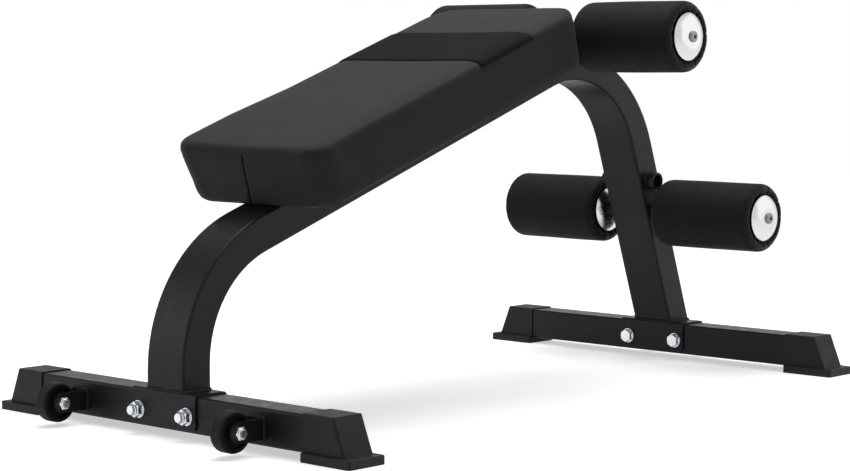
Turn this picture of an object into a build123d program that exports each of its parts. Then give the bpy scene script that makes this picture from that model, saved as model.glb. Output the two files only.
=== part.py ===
from build123d import *
import math
import os

# A fixed-angle sit-up bench with two pairs of foam rollers and a pair of transport wheels.
# Sizes are millimetres. X runs from the wheel end to the roller end, Y to the left side, Z up.
# Pieces are drawn with X = 0 over the front base. They are shifted at the end, so that the
# origin lies on the floor under the middle of the bench.

# Base tubes
base_span = 1083.0
base_size = 50.0
base_wall = 2.0
base_corner = 4.0
base_rise = 10.0
base_half_length = 317.0

# Feet
foot_tip = 357.0
foot_length = 90.0
foot_wall = 1.7
foot_play = 0.1
foot_slope_run = 19.5
foot_corner = 4.0
sole_width = 66.0
sole_height = 12.0
sole_corner = 5.0
sole_edge = 2.0
lip_reach = 15.0

# Main frame tube
tube_width = 75.0
tube_depth = 50.0
tube_wall = 2.0
tube_corner = 3.5
rail_angle = 19.6
front_corner_height = 223.0
inner_bend = 155.0
outer_bend = 222.0

# Saddles and their bolts
saddle_width = 130.0
saddle_wall = 3.0
saddle_height = 49.0
saddle_corner = 8.0
saddle_bend = 5.0
base_bolt_spacing = 98.0
base_bolt_height = 33.0
base_bolt = 12.0
base_bolt_hole = 13.0
base_bolt_flats = 19.0
base_bolt_head = 7.5
base_washer = 24.0
base_washer_thickness = 2.5
base_nut_height = 12.0
base_bolt_past_nut = 3.0

# Wheels
wheel_spacing = 360.0
wheel_reach = 69.0
wheel_height = 33.0
wheel_diameter = 55.0
wheel_width = 22.0
wheel_edge = 4.0
wheel_recess_diameter = 42.0
wheel_hub_diameter = 26.0
wheel_recess = 3.0
wheel_bush = 14.0
wheel_bolt = 10.0
wheel_bolt_play = 0.1
wheel_bolt_flats = 16.0
wheel_bolt_head = 6.5
wheel_nut_height = 9.0
wheel_bolt_past_nut = 1.5
fork_gap = 24.0
fork_wall = 3.0
fork_arm_height = 28.0

# Rollers and what carries them
lower_sleeve_rise = 200.0
sleeve_pitch = 56.0
upper_axle_along = 866.0
upper_axle_above = 28.0
axle_diameter = 20.0
sleeve_diameter = 28.0
sleeve_bore = 20.6
sleeve_half_length = 53.5
seat_length = 22.0
seat_width = 60.0
roller_diameter = 110.0
roller_inner_end = 62.0
roller_outer_end = 252.5
roller_shoulder = 12.0
roller_dish = 3.0
liner_diameter = 25.0
running_clearance = 0.08
cap_diameter = 73.0
cap_height = 8.0
cap_wall = 1.5
cap_gap = 0.5
cap_seat_diameter = 30.0
cap_screw = 10.0
cap_screw_length = 30.0
cap_screw_head = 17.5
cap_screw_head_height = 4.0
cap_screw_socket = 6.0

# Pad
pad_start = 160.0
pad_length = 606.0
pad_width = 298.0
pad_height = 87.0
pad_corner = 46.0
pad_crown = 5.0
pad_shoulder = 11.0
pad_bottom_edge = 5.0
pad_bottom_inset = 7.0
pad_top_inset = 3.0
board_inset = 14.0
board_thickness = 15.0
band_start = 514.0
band_length = 124.0
band_thickness = 1.2
band_side_drop = 16.0
tab_station = 175.0
tab_length = 40.0
tab_reach = 50.0
tab_drop = 30.0
tab_wall = 3.0
tab_corner = 10.0
pad_bolt = 8.0
pad_bolt_offset = 66.0
pad_bolt_length = 16.0
pad_bolt_flats = 13.0
pad_bolt_head = 5.3
pad_bolt_hole = 9.0
pad_washer = 18.0
pad_washer_thickness = 1.6
tnut_flange = 22.0
tnut_flange_thickness = 1.6
tnut_barrel = 10.0
tnut_length = 11.0

# Places worked out from the driving sizes
base_top = base_rise + base_size
saddle_top = base_top + saddle_wall
slope_sin = math.sin(math.radians(rail_angle))
slope_cos = math.cos(math.radians(rail_angle))
rail_along = Vector(slope_cos, 0, slope_sin)
rail_up = Vector(-slope_sin, 0, slope_cos)
front_corner = Vector(0, 0, front_corner_height)
rail_plane = Plane(origin=front_corner, x_dir=rail_along, z_dir=rail_up)
rear_along = (Vector(base_span, 0, saddle_top) - front_corner).dot(rail_along)
wheel_radius = wheel_diameter / 2
base_grip = base_size + 2 * saddle_wall + 2 * base_washer_thickness
base_bolt_length = base_grip + base_nut_height + base_bolt_past_nut
rearmost = base_span - base_grip / 2 + base_bolt_length
middle_x = (rearmost - wheel_reach - wheel_radius) / 2

pieces = {}


def rail_point(along, above):
    """Point on the middle plane of the bench, given along the rail and above its centre line."""
    return front_corner + rail_along * along + rail_up * above


def lying_cylinder(radius, length):
    """Cylinder about the Y axis, centred on the origin."""
    return Rot(90, 0, 0) * Cylinder(radius, length)


def ring(outer_diameter, bore, thickness):
    """Flat ring standing on the XY plane."""
    return extrude(Circle(outer_diameter / 2) - Circle(bore / 2), thickness)


def hexagon(across_flats):
    """Hexagon with the given width across its flats."""
    return RegularPolygon(across_flats / 2, 6, major_radius=False)


def hex_prism(across_flats, height):
    """Hexagon standing on the XY plane, with its upper corners turned off at 30 degrees."""
    top_radius = across_flats * 0.48
    turned = Cone(top_radius + height * math.sqrt(3), top_radius, height)
    return extrude(hexagon(across_flats), height) & Pos(0, 0, height / 2) * turned


def hex_bolt(diameter, length, across_flats, head_height):
    """Bolt along Z with its head under the XY plane and its shank above it."""
    head = Rot(180, 0, 0) * hex_prism(across_flats, head_height)
    shank = extrude(Circle(diameter / 2), length)
    return head + shank


def lock_nut(diameter, across_flats, height):
    """Nut with a round locking collar, standing on the XY plane."""
    hex_height = height * 0.7
    body = hex_prism(across_flats, hex_height)
    collar = Pos(0, 0, hex_height) * extrude(Circle(across_flats * 0.44), height - hex_height)
    collar = chamfer(collar.edges().sort_by(Axis.Z)[-1], 1.0)
    return body + collar - extrude(Circle(diameter / 2), height)


# Bases: square tubes across the bench, with two bolt holes through each
def base_tube(x):
    middle = Vector(x, 0, base_rise + base_size / 2)
    section = Plane(origin=middle, x_dir=(1, 0, 0), z_dir=(0, 1, 0))
    outside = RectangleRounded(base_size, base_size, base_corner)
    inside = RectangleRounded(base_size - 2 * base_wall, base_size - 2 * base_wall, base_corner - base_wall)
    tube = extrude(section * (outside - inside), base_half_length, both=True)
    for side in (-1, 1):
        hole = Pos(x, side * base_bolt_spacing / 2, base_bolt_height) * Rot(0, 90, 0)
        tube -= hole * Cylinder(base_bolt_hole / 2, base_size + 2)
    return tube


pieces["front_base_tube"] = base_tube(0)
pieces["rear_base_tube"] = base_tube(base_span)


# Feet: moulded caps pushed over the tube ends, with a sloped end and a wide sole
def foot_side(inset, floor):
    """Side outline of the cap in Y and Z, drawn for the left end."""
    start = foot_tip - foot_length
    slope_foot = foot_tip - lip_reach - inset
    top = base_top + foot_play + foot_wall - inset
    run = foot_slope_run * (top - sole_height) / (base_top - sole_height)
    return make_face(Polyline(
        (start, floor),
        (slope_foot, floor),
        (slope_foot, sole_height),
        (slope_foot - run, top),
        (start, top),
        close=True,
    ))


def foot():
    half = base_size / 2 + foot_play + foot_wall
    cap = extrude(Plane.YZ * foot_side(0, 0), half, both=True)
    upper_edges = cap.edges().filter_by(lambda edge: edge.center().Z > sole_height + 1)
    long_edges = upper_edges.filter_by(lambda edge: abs(edge.tangent_at(0.5).X) < 0.1)
    side_edges = long_edges.filter_by(lambda edge: abs(edge.center().X) > half - 1)
    outer_edges = side_edges.filter_by(lambda edge: edge.center().Y > foot_tip - foot_length + 1)
    cap = fillet(outer_edges, foot_corner)
    sole = RectangleRounded(sole_width, foot_length, sole_corner)
    sole = Pos(0, foot_tip - foot_length / 2, 0) * extrude(sole, sole_height)
    sole = fillet(sole.edges().group_by(Axis.Z)[-1], sole_edge)
    pocket = extrude(Plane.YZ * foot_side(foot_wall, base_rise), base_size / 2 + foot_play, both=True)
    return cap + sole - pocket


left_foot = foot()
right_foot = Rot(0, 0, 180) * left_foot
for end, x in (("front", 0), ("rear", base_span)):
    pieces[f"{end}_left_foot"] = Pos(x, 0, 0) * left_foot
    pieces[f"{end}_right_foot"] = Pos(x, 0, 0) * right_foot


# Main frame: one rectangular tube bent twice. The outer wall sinks a little in each bend,
# so the outer bend radius is larger than the inner one plus the tube's depth.
def frame_corners(side, inset, below):
    """Sharp corners of one line of the tube; side is 1 outside the bends and -1 inside them."""
    offset = side * (tube_depth / 2 - inset)
    end_height = saddle_top - below
    along = rear_along + offset
    above = (end_height - front_corner_height - along * slope_sin) / slope_cos
    rear_corner = rail_point(along, offset)
    rear_end = rail_point(along, above)
    return [
        (-offset, end_height),
        (-offset, front_corner_height + offset * (1 - slope_sin) / slope_cos),
        (rear_corner.X, rear_corner.Z),
        (rear_end.X, rear_end.Z),
    ]


def frame_profile(inset, below):
    outside = FilletPolyline(*frame_corners(1, inset, below), radius=outer_bend - inset)
    inside = FilletPolyline(*frame_corners(-1, inset, below), radius=inner_bend + inset)
    front_end = Line(outside @ 0, inside @ 0)
    rear_end = Line(outside @ 1, inside @ 1)
    return Plane.XZ * make_face(outside.edges() + inside.edges() + front_end.edges() + rear_end.edges())


def along_post(rise):
    """Point on the rear post's centre line, a given distance above the saddle along the post."""
    return Vector(base_span, 0, saddle_top) + rail_up * rise


lower_axle = along_post(lower_sleeve_rise)
spare_axle = along_post(lower_sleeve_rise + sleeve_pitch)
upper_axle = rail_point(upper_axle_along, upper_axle_above)

frame_solid = extrude(frame_profile(0, 0), tube_width / 2, both=True)
rim_edges = frame_solid.edges().filter_by(lambda edge: abs(edge.center().Y) > tube_width / 2 - 1)
rim_edges = rim_edges.filter_by(lambda edge: edge.center().Z > saddle_top + 1)
frame_solid = fillet(rim_edges, tube_corner)
frame_hollow = extrude(frame_profile(tube_wall, 1.0), tube_width / 2 - tube_wall, both=True)
main_frame = frame_solid - frame_hollow
for axle in (lower_axle, spare_axle):
    main_frame -= Pos(axle) * lying_cylinder(sleeve_diameter / 2, tube_width + 2)
pieces["main_frame"] = main_frame


# Saddles: U plates welded under the posts, which sit over the base tubes
def saddle(x):
    outer = base_size / 2 + saddle_wall
    inner = base_size / 2
    bottom = saddle_top - saddle_height
    profile = make_face(Polyline(
        (-outer, bottom),
        (-outer, saddle_top),
        (outer, saddle_top),
        (outer, bottom),
        (inner, bottom),
        (inner, base_top),
        (-inner, base_top),
        (-inner, bottom),
        close=True,
    ))
    profile = fillet(profile.vertices().group_by(Axis.Y)[-1], saddle_bend)
    plate = extrude(Plane.XZ * profile, saddle_width / 2, both=True)
    lower_corners = plate.edges().filter_by(Axis.X).group_by(Axis.Z)[0]
    plate = fillet(lower_corners, saddle_corner)
    for side in (-1, 1):
        hole = Pos(0, side * base_bolt_spacing / 2, base_bolt_height) * Rot(0, 90, 0)
        plate -= hole * Cylinder(base_bolt_hole / 2, 2 * outer + 2)
    return Pos(x, 0, 0) * plate


pieces["front_saddle"] = saddle(0)
pieces["rear_saddle"] = saddle(base_span)


# Base bolts: through saddle and tube, with washers and lock nuts. The nuts of the front base
# and the heads of the rear base face the wheel end.
def base_fasteners(name, x, turn):
    washer = ring(base_washer, base_bolt_hole, base_washer_thickness)
    nut = lock_nut(base_bolt, base_bolt_flats, base_nut_height)
    bolt = hex_bolt(base_bolt, base_bolt_length, base_bolt_flats, base_bolt_head)
    groups = {"bolts": [], "washers": [], "nuts": []}
    for side in (-1, 1):
        place = Pos(x, side * base_bolt_spacing / 2, base_bolt_height) * Rot(0, turn, 0)
        groups["bolts"].append(place * Pos(0, 0, -base_grip / 2) * bolt)
        groups["washers"].append(place * Pos(0, 0, -base_grip / 2) * washer)
        groups["washers"].append(place * Pos(0, 0, base_grip / 2 - base_washer_thickness) * washer)
        groups["nuts"].append(place * Pos(0, 0, base_grip / 2) * nut)
    for kind, solids in groups.items():
        pieces[f"{name}_{kind}"] = Compound(children=solids)


base_fasteners("front_base", 0, -90)
base_fasteners("rear_base", base_span, 90)


# Wheel forks: U brackets welded to the front face of the front base
def wheel_fork():
    front_face = -base_size / 2
    back = front_face - fork_wall
    half = fork_gap / 2 + fork_wall
    radius = fork_arm_height / 2
    low = wheel_height - radius
    high = wheel_height + radius
    bar = Polyline((-wheel_reach, low), (back, low), (back, high), (-wheel_reach, high), close=True)
    arm = Plane.XZ * (make_face(bar) + Pos(-wheel_reach, wheel_height) * Circle(radius))
    arms = extrude(arm, half, both=True) - extrude(arm, fork_gap / 2, both=True)
    bridge = Pos(front_face - fork_wall / 2, 0, wheel_height) * Box(fork_wall, 2 * half, fork_arm_height)
    hole = Pos(-wheel_reach, 0, wheel_height) * lying_cylinder(wheel_bolt / 2 + wheel_bolt_play, 2 * half + 2)
    return arms + bridge - hole


# Wheels: moulded tyres with a recess on each side, turning on steel bushes
def wheel():
    half = wheel_width / 2
    bore = wheel_bush / 2 + running_clearance
    hub = wheel_hub_diameter / 2
    rim = wheel_recess_diameter / 2
    outline = make_face(Polyline(
        (bore, -half),
        (hub, -half),
        (hub + 1, wheel_recess - half),
        (rim - 1, wheel_recess - half),
        (rim, -half),
        (wheel_radius, -half),
        (wheel_radius, half),
        (rim, half),
        (rim - 1, half - wheel_recess),
        (hub + 1, half - wheel_recess),
        (hub, half),
        (bore, half),
        close=True,
    ))
    outline = fillet(outline.vertices().group_by(Axis.X)[-1], wheel_edge)
    return Rot(90, 0, 0) * revolve(Plane.XZ * outline, Axis.Z)


wheel_bolts = []
wheel_nuts = []
fork_half = fork_gap / 2 + fork_wall
wheel_bolt_length = 2 * fork_half + wheel_nut_height + wheel_bolt_past_nut
for name, side in (("left", 1), ("right", -1)):
    y = side * wheel_spacing / 2
    centre = Pos(-wheel_reach, y, wheel_height)
    pieces[f"{name}_wheel_fork"] = Pos(0, y, 0) * wheel_fork()
    pieces[f"{name}_wheel"] = centre * wheel()
    bush = ring(wheel_bush, wheel_bolt + 2 * wheel_bolt_play, fork_gap)
    pieces[f"{name}_wheel_bush"] = centre * Rot(90, 0, 0) * Pos(0, 0, -fork_gap / 2) * bush
    bolt = hex_bolt(wheel_bolt, wheel_bolt_length, wheel_bolt_flats, wheel_bolt_head)
    nut = lock_nut(wheel_bolt, wheel_bolt_flats, wheel_nut_height)
    outward = centre * Rot(90, 0, 0)
    wheel_bolts.append(outward * Pos(0, 0, -fork_half) * bolt)
    wheel_nuts.append(outward * Pos(0, 0, fork_half) * nut)
pieces["wheel_bolts"] = Compound(children=wheel_bolts)
pieces["wheel_nuts"] = Compound(children=wheel_nuts)


# Sleeves: short tubes welded across the frame. The lower one holds the lower roller bar, the
# spare one above it takes that bar instead, and the upper one stands on a seat over the bend.
def sleeve(axle):
    tube = ring(sleeve_diameter, sleeve_bore, 2 * sleeve_half_length)
    return Pos(axle) * Rot(90, 0, 0) * Pos(0, 0, -sleeve_half_length) * tube


pieces["lower_sleeve"] = sleeve(lower_axle)
pieces["spare_sleeve"] = sleeve(spare_axle)
pieces["upper_sleeve"] = sleeve(upper_axle)

bend_centre = rail_point(rear_along + tube_depth / 2 - outer_bend, tube_depth / 2 - outer_bend)
seat_direction = (upper_axle - bend_centre).normalized()
seat_plane = Plane(origin=upper_axle, x_dir=(0, 1, 0), z_dir=seat_direction)
seat_block = extrude(seat_plane * Rectangle(seat_width, seat_length), -sleeve_diameter)
seat_block -= Pos(upper_axle) * lying_cylinder(sleeve_diameter / 2, tube_width)
seat_block -= extrude(frame_profile(0, 0), tube_width / 2, both=True)
pieces["upper_sleeve_seat"] = seat_block.solids().sort_by(SortBy.VOLUME)[-1]


# Roller bars: round bars through the sleeves, tapped at both ends for the cap screws
cap_top = roller_outer_end + cap_gap + cap_height
axle_half_length = cap_top - cap_wall


def roller_axle(axle):
    bar = Cylinder(axle_diameter / 2, 2 * axle_half_length)
    tapped_depth = cap_screw_length + 2
    for side in (-1, 1):
        tapped = Cylinder(cap_screw / 2, tapped_depth)
        bar -= Pos(0, 0, side * (axle_half_length - tapped_depth / 2)) * tapped
    return Pos(axle) * Rot(90, 0, 0) * bar


pieces["upper_axle"] = roller_axle(upper_axle)
pieces["lower_axle"] = roller_axle(lower_axle)


# Rollers: foam under a gathered cover, on a hard liner. The cover is drawn in round the caps.
# Profiles hold the radius in X and the distance from the middle of the bench in Z.
def roller_foam():
    radius = roller_diameter / 2
    rim = cap_diameter / 2 + 1
    inside = liner_diameter / 2
    shoulder = radius - roller_shoulder
    near = roller_inner_end
    far = roller_outer_end
    outline = make_face([
        Line((inside, near + roller_dish), (rim, near + roller_dish)),
        Line((rim, near + roller_dish), (shoulder, near)),
        RadiusArc((shoulder, near), (radius, near + roller_shoulder), roller_shoulder),
        Line((radius, near + roller_shoulder), (radius, far - roller_shoulder)),
        RadiusArc((radius, far - roller_shoulder), (shoulder, far), roller_shoulder),
        Line((shoulder, far), (rim, far - roller_dish)),
        Line((rim, far - roller_dish), (inside, far - roller_dish)),
        Line((inside, far - roller_dish), (inside, near + roller_dish)),
    ])
    return revolve(Plane.XZ * outline, Axis.Z)


def roller_liner():
    near = roller_inner_end + roller_dish
    far = roller_outer_end - roller_dish
    return Pos(0, 0, near) * ring(liner_diameter, axle_diameter + 2 * running_clearance, far - near)


# Caps: pressed domes with a flat seat in the middle. The inner ones rest on the sleeve ends and
# have a hole for the bar, the outer ones are held on the bar ends by button-head screws.
def dome(rim_height, hole):
    """Dome with a conical inside, its rim at rim_height and its flat seat cap_height above that."""
    rim = cap_diameter / 2
    seat = cap_seat_diameter / 2
    top = rim_height + cap_height
    inner_top = top - cap_wall
    outline = make_face([
        TangentArc((seat, top), (rim, rim_height), tangent=(1, 0)),
        Line((seat, top), (hole / 2, top)),
        Line((hole / 2, top), (hole / 2, inner_top)),
        Line((hole / 2, inner_top), (seat, inner_top)),
        Line((seat, inner_top), (rim - cap_wall, rim_height)),
        Line((rim - cap_wall, rim_height), (rim, rim_height)),
    ])
    return revolve(Plane.XZ * outline, Axis.Z)


def cap_button():
    head = extrude(Circle(cap_screw_head / 2), cap_screw_head_height)
    head = fillet(head.edges().sort_by(Axis.Z)[-1], cap_screw_head_height * 0.8)
    shank = extrude(Circle(cap_screw / 2), -cap_screw_length)
    socket_depth = cap_screw_head_height * 0.6
    socket = Pos(0, 0, cap_screw_head_height - socket_depth) * extrude(hexagon(cap_screw_socket), 10)
    return head + shank - socket


cap_screws = []
inner_cap = Rot(180, 0, 0) * dome(-sleeve_half_length - cap_height, axle_diameter + 0.4)
outer_cap = dome(roller_outer_end + cap_gap, cap_screw + 0.6)
for level, axle in (("upper", upper_axle), ("lower", lower_axle)):
    for name, turn in (("left", -90), ("right", 90)):
        outward = Pos(axle) * Rot(turn, 0, 0)
        pieces[f"{level}_{name}_roller"] = outward * roller_foam()
        pieces[f"{level}_{name}_liner"] = outward * roller_liner()
        pieces[f"{level}_{name}_inner_cap"] = outward * inner_cap
        pieces[f"{level}_{name}_outer_cap"] = outward * outer_cap
        cap_screws.append(outward * Pos(0, 0, cap_top) * cap_button())
pieces["cap_screws"] = Compound(children=cap_screws)


# Pad: a plywood board under a crowned cushion whose sides draw in towards the board.
# These pieces are drawn along the rail, with Z = 0 on its centre line.
pad_middle = pad_start + pad_length / 2
pad_bottom = tube_depth / 2


def pad_form(grow):
    """Cushion form; grow moves its surface outwards, except at the bottom."""
    levels = (
        (0.0, pad_bottom_inset),
        (0.3, pad_bottom_inset * 0.3),
        (0.6, 0.0),
        (1.15, pad_top_inset),
    )
    sections = []
    for share, inset in levels:
        length = pad_length + 2 * (grow - inset)
        width = pad_width + 2 * (grow - inset)
        sections.append(Pos(0, 0, share * pad_height) * RectangleRounded(length, width, pad_corner))
    sides = loft(sections)
    top = pad_height + grow
    edge = top - 4 * pad_crown
    crown = ThreePointArc((-pad_width, edge), (0, top), (pad_width, edge))
    below = Polyline(crown @ 1, (pad_width, -1), (-pad_width, -1), crown @ 0)
    crowned_slab = extrude(Plane.YZ * make_face(crown.edges() + below.edges()), pad_length, both=True)
    form = (sides & crowned_slab).solids()[0]
    form = fillet(form.edges().filter_by(lambda edge: edge.center().Z > pad_height * 0.8), pad_shoulder)
    form = fillet(form.edges().group_by(Axis.Z)[0], pad_bottom_edge)
    return Pos(pad_middle, 0, pad_bottom) * form


def pad_bolt_places():
    for along in (pad_middle - tab_station, pad_middle + tab_station):
        for side in (-1, 1):
            yield along, side


cushion = pad_form(0)
board_length = pad_length - 2 * board_inset
board_width = pad_width - 2 * board_inset
board_outline = RectangleRounded(board_length, board_width, pad_corner - board_inset)
board = Pos(pad_middle, 0, pad_bottom) * extrude(board_outline, board_thickness)
cushion -= board
board_top = pad_bottom + board_thickness

band_slab_height = pad_height * 2
band_bottom = pad_bottom + pad_height - band_side_drop
band_slab = Box(band_length, pad_width * 2, band_slab_height)
band_place = Pos(band_start + band_length / 2, 0, band_bottom + band_slab_height / 2)
band = (pad_form(band_thickness) & band_place * band_slab) - pad_form(0)

# T-nuts sit in the board, flange up, and the pad bolts come up through the tabs
tnuts = []
pad_bolts = []
pad_washers = []
tnut = extrude(Circle(tnut_flange / 2), -tnut_flange_thickness)
tnut += extrude(Circle(tnut_barrel / 2), -tnut_length)
tnut_bore = extrude(Circle(pad_bolt / 2), -2 * tnut_length, both=True)
bolt = hex_bolt(pad_bolt, pad_bolt_length, pad_bolt_flats, pad_bolt_head)
washer = ring(pad_washer, pad_bolt_hole, pad_washer_thickness)
bolt_seat = pad_bottom - tab_wall - pad_washer_thickness
for along, side in pad_bolt_places():
    place = Pos(along, side * pad_bolt_offset, 0)
    board -= place * Pos(0, 0, board_top) * tnut
    board -= place * Pos(0, 0, pad_bottom) * extrude(Circle(tnut_barrel / 2), board_thickness)
    tnuts.append(place * Pos(0, 0, board_top) * (tnut - tnut_bore))
    pad_bolts.append(place * Pos(0, 0, bolt_seat) * bolt)
    pad_washers.append(place * Pos(0, 0, bolt_seat) * washer)


# Pad tabs: angle brackets welded to the sides of the rail, level with its top
def pad_tab(along, side):
    wall = tube_width / 2
    top = tube_depth / 2
    outline = make_face(Polyline(
        (wall, top - tab_drop),
        (wall, top),
        (wall + tab_reach, top),
        (wall + tab_reach, top - tab_wall),
        (wall + tab_wall, top - tab_wall),
        (wall + tab_wall, top - tab_drop),
        close=True,
    ))
    bracket = extrude(Plane.YZ * outline, tab_length / 2, both=True)
    free_edges = bracket.edges().filter_by(Axis.Z).group_by(Axis.Y)[-1]
    bracket = fillet(free_edges, tab_corner)
    hole = Pos(0, pad_bolt_offset, top) * Cylinder(pad_bolt_hole / 2, 4 * tab_wall)
    bracket -= hole
    return Pos(along, 0, 0) * (bracket if side > 0 else mirror(bracket, Plane.XZ))


for along, side in pad_bolt_places():
    end = "front" if along < pad_middle else "rear"
    name = "left" if side > 0 else "right"
    pieces[f"pad_tab_{end}_{name}"] = rail_plane.location * pad_tab(along, side)

pieces["pad_board"] = rail_plane.location * board
pieces["pad_cushion"] = rail_plane.location * cushion
pieces["pad_band"] = rail_plane.location * band
pieces["pad_tnuts"] = rail_plane.location * Compound(children=tnuts)
pieces["pad_bolts"] = rail_plane.location * Compound(children=pad_bolts)
pieces["pad_washers"] = rail_plane.location * Compound(children=pad_washers)

# The finished pieces are shifted to their common origin and written out
os.makedirs("parts", exist_ok=True)
for name, piece in pieces.items():
    export_step(Pos(-middle_x, 0, 0) * piece, f"parts/{name}.step")
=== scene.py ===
"""Sit-up bench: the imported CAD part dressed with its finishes, welds, roller covers and sewn pad."""
import math

import bmesh
import bpy
import numpy as np
from mathutils import Matrix, Vector
from mathutils.bvhtree import BVHTree


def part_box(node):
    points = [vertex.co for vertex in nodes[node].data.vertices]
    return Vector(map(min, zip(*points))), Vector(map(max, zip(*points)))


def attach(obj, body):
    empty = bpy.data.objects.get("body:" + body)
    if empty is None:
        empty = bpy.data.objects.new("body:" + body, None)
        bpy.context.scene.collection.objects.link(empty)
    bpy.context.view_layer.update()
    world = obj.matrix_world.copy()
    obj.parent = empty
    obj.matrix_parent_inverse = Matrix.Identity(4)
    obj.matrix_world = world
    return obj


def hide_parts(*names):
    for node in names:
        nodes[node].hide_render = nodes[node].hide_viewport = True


mm = 0.001
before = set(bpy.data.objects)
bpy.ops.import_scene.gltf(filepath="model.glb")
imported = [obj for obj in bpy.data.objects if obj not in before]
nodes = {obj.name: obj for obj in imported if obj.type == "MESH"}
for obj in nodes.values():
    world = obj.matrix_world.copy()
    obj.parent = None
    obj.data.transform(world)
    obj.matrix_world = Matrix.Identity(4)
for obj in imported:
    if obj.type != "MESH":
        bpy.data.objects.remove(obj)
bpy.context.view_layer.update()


# Steel frame: one bent rectangular tube on two square base tubes, with folded saddles, wheel forks,
# cross sleeves and pad tabs. All of it is mild steel under black powder coat, which cures to a
# satin skin with a fine orange peel.
def new_finish(name, color, roughness, metallic=0.0, specular=0.5):
    """A material with plain values on its Principled shader; returns it, its tree and the shader."""
    material = bpy.data.materials.new(name)
    material.use_nodes = True
    shader = material.node_tree.nodes["Principled BSDF"]
    shader.inputs["Base Color"].default_value = (*color, 1.0)
    shader.inputs["Roughness"].default_value = roughness
    shader.inputs["Metallic"].default_value = metallic
    shader.inputs["Specular IOR Level"].default_value = specular
    return material, material.node_tree, shader


def own_place(tree):
    """Coordinates that stay with the piece when it moves."""
    return tree.nodes.new("ShaderNodeTexCoord").outputs["Object"]


def cloudy(tree, grain, detail=2.0, where=None):
    """Soft noise with spots of about the given size."""
    texture = tree.nodes.new("ShaderNodeTexNoise")
    texture.inputs["Scale"].default_value = 1.0 / grain
    texture.inputs["Detail"].default_value = detail
    tree.links.new(where or own_place(tree), texture.inputs["Vector"])
    return texture.outputs["Fac"]


def graded(tree, source, low, high, start=0.3, end=0.7):
    """Carries a texture's range from start to end over to the range from low to high."""
    ranged = tree.nodes.new("ShaderNodeMapRange")
    ranged.inputs["From Min"].default_value = start
    ranged.inputs["From Max"].default_value = end
    ranged.inputs["To Min"].default_value = low
    ranged.inputs["To Max"].default_value = high
    tree.links.new(source, ranged.inputs["Value"])
    return ranged.outputs["Result"]


def tinted(tree, share, first, second):
    """Colour that goes from the first to the second as share goes from 0 to 1."""
    mix = tree.nodes.new("ShaderNodeMix")
    mix.data_type = "RGBA"
    mix.inputs[6].default_value = (*first, 1.0)
    mix.inputs[7].default_value = (*second, 1.0)
    tree.links.new(share, mix.inputs[0])
    return mix.outputs[2]


def mottle(tree, shader, grain, detail, first, second):
    """Cloudy change from one colour to another over a finish."""
    tree.links.new(tinted(tree, cloudy(tree, grain, detail), first, second), shader.inputs["Base Color"])


def dull(tree, shader, grain, detail, low, high):
    """Cloudy change of roughness over a finish."""
    tree.links.new(graded(tree, cloudy(tree, grain, detail), low, high), shader.inputs["Roughness"])


def emboss(tree, shader, height, depth, strength=1.0):
    """Adds relief to the shader's normal, on top of relief that it already has."""
    bump = tree.nodes.new("ShaderNodeBump")
    bump.inputs["Distance"].default_value = depth
    bump.inputs["Strength"].default_value = strength
    tree.links.new(height, bump.inputs["Height"])
    if shader.inputs["Normal"].is_linked:
        tree.links.new(shader.inputs["Normal"].links[0].from_socket, bump.inputs["Normal"])
    tree.links.new(bump.outputs["Normal"], shader.inputs["Normal"])


def give(names, material):
    """Puts a finish on CAD nodes."""
    for name in names:
        nodes[name].data.materials.clear()
        nodes[name].data.materials.append(material)


powder_coat, tree, shader = new_finish("powder_coat", (0.0120, 0.0115, 0.0155), 0.38, specular=0.15)
mottle(tree, shader, 60 * mm, 4.0, (0.0094, 0.0090, 0.0121), (0.0146, 0.0140, 0.0189))
dull(tree, shader, 14 * mm, 5.0, 0.32, 0.44)
emboss(tree, shader, cloudy(tree, 1.6 * mm, 1.0), 0.05 * mm)

steel_nodes = ["main_frame", "front_base_tube", "rear_base_tube", "front_saddle", "rear_saddle"]
steel_nodes += ["left_wheel_fork", "right_wheel_fork"]
steel_nodes += ["lower_sleeve", "spare_sleeve", "upper_sleeve", "upper_sleeve_seat"]
tab_nodes = [f"pad_tab_{end}_{side}" for end in ("front", "rear") for side in ("left", "right")]
give(steel_nodes + tab_nodes, powder_coat)


# Welds: rippled beads that join posts to saddles, sleeves to the rear post and the seat, forks to the
# front base and tabs to the rail. They were laid by hand before coating, so they share its black.
def add_piece(name, mesh, material, body="frame"):
    """Makes a mesh a smooth piece of the bench that rides on a CAD body."""
    mesh.materials.append(material)
    mesh.polygons.foreach_set("use_smooth", [True] * len(mesh.polygons))
    piece = bpy.data.objects.new(name, mesh)
    bpy.context.scene.collection.objects.link(piece)
    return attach(piece, body)


def respaced(points, step=None, count=None, closed=False):
    """The same line with points at even steps, or with a given count of them."""
    line = np.array([tuple(p) for p in points] + [tuple(points[0])] * closed)
    reach = np.concatenate([[0], np.cumsum(np.linalg.norm(np.diff(line, axis=0), axis=1))])
    count = count or max(2, round(reach[-1] / step))
    at = np.linspace(0, reach[-1], count, endpoint=not closed)
    return [Vector(p) for p in np.stack([np.interp(at, reach, line[:, i]) for i in range(3)], axis=1)]


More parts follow.
